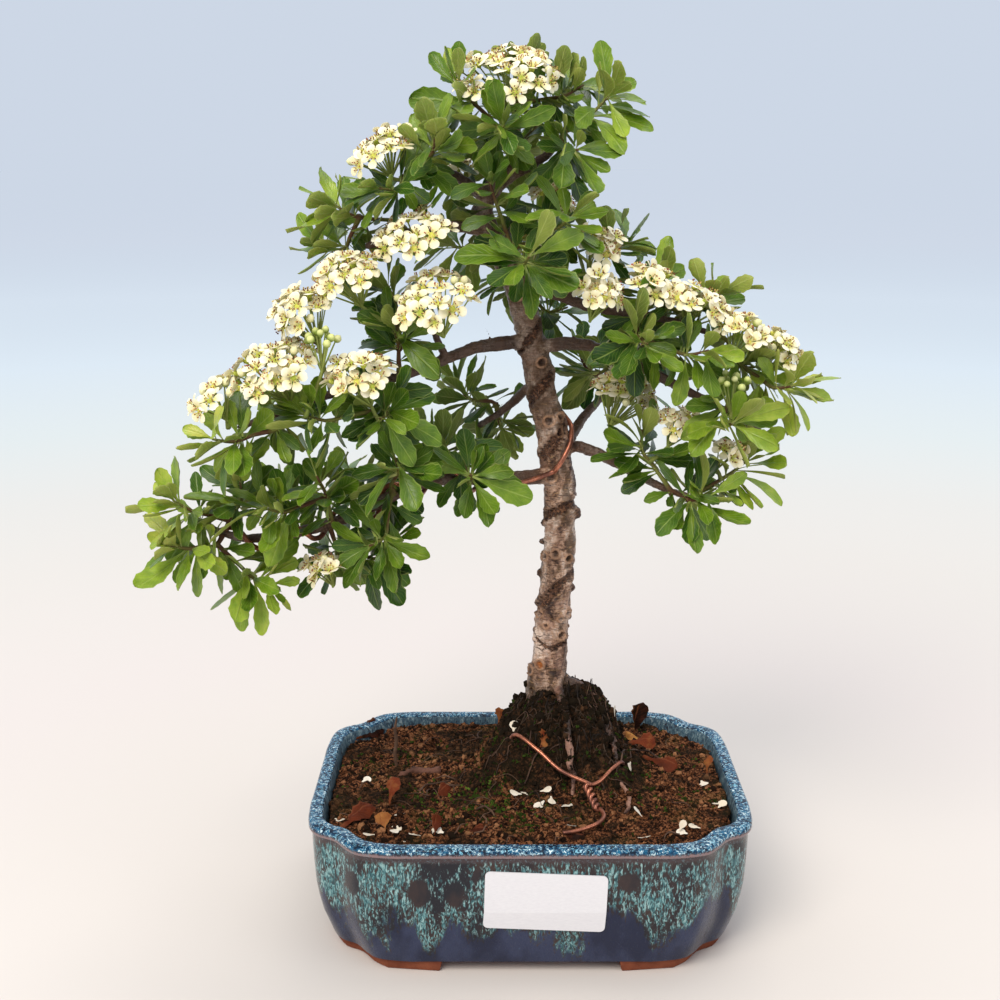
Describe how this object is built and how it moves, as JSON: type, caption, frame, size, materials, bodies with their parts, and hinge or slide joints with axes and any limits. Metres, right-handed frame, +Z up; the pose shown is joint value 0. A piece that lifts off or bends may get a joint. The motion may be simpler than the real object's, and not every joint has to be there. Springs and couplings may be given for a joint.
{
  "type": "pyracantha bonsai",
  "caption": "Flowering pyracantha bonsai in a glazed rectangular pot with drawn-in corners, on four low feet.",
  "frame": {"origin": "middle of the whole part's outline in plan, at the foot of the pot", "axes": "+X to the right seen from the pot's front, +Y to the back, +Z up along the tree's height"},
  "size_m": [0.2574, 0.1377, 0.3372],
  "materials": {
    "glaze": "glossy blue glaze over dark brown clay",
    "soil": "crumbly dark red-brown soil with moss",
    "bark": "grey-brown bark with scars",
    "copper": "dull reddish copper",
    "net": "black plastic net",
    "paper": "plain white sticker",
    "leaf": "glossy green leaves",
    "petal": "soft cream petals",
    "bud": "pale green buds"
  },
  "bodies": {
    "root": {"anchor_wire": "copper", "bloom_apex": "petal", "bloom_back": "petal", "bloom_back_right": "petal", "bloom_behind_trunk": "petal", "bloom_centre_right": "petal", "bloom_left_broad": "petal", "bloom_left_centre": "petal", "bloom_left_end": "petal", "bloom_left_front": "petal", "bloom_left_high": "petal", "bloom_left_outer": "petal", "bloom_low_left": "petal", "bloom_right_crest": "petal", "bloom_right_crest_inner": "petal", "bloom_right_crest_outer": "petal", "bloom_right_end": "petal", "bloom_right_inner": "petal", "bloom_right_low": "petal", "bloom_right_shaded": "petal", "bloom_right_under": "petal", "bloom_shoulder": "petal", "bloom_trunk_left": "petal", "bloom_upper_left": "petal", "buds_left": "bud", "buds_right": "bud", "drain_mesh_left": "net", "drain_mesh_right": "net", "label": "paper", "pot": "glaze", "soil": "soil", "spray_apex_back": "leaf", "spray_apex_left": "leaf", "spray_apex_right": "leaf", "spray_apex_top": "leaf", "spray_back": "leaf", "spray_back_left": "leaf", "spray_back_right": "leaf", "spray_back_top": "leaf", "spray_centre_front": "leaf", "spray_centre_right": "leaf", "spray_left_front": "leaf", "spray_left_inner": "leaf", "spray_left_tip": "leaf", "spray_low_back": "leaf", "spray_low_end": "leaf", "spray_low_front": "leaf", "spray_low_inner": "leaf", "spray_low_middle": "leaf", "spray_low_right": "leaf", "spray_low_tip": "leaf", "spray_low_under": "leaf", "spray_right": "leaf", "spray_right_back": "leaf", "spray_right_upper": "leaf", "spray_right_upper_front": "leaf", "spray_shoulder_left": "leaf", "spray_upper_left": "leaf", "training_wire": "copper", "trunk": "bark"}
  },
  "joints": []
}
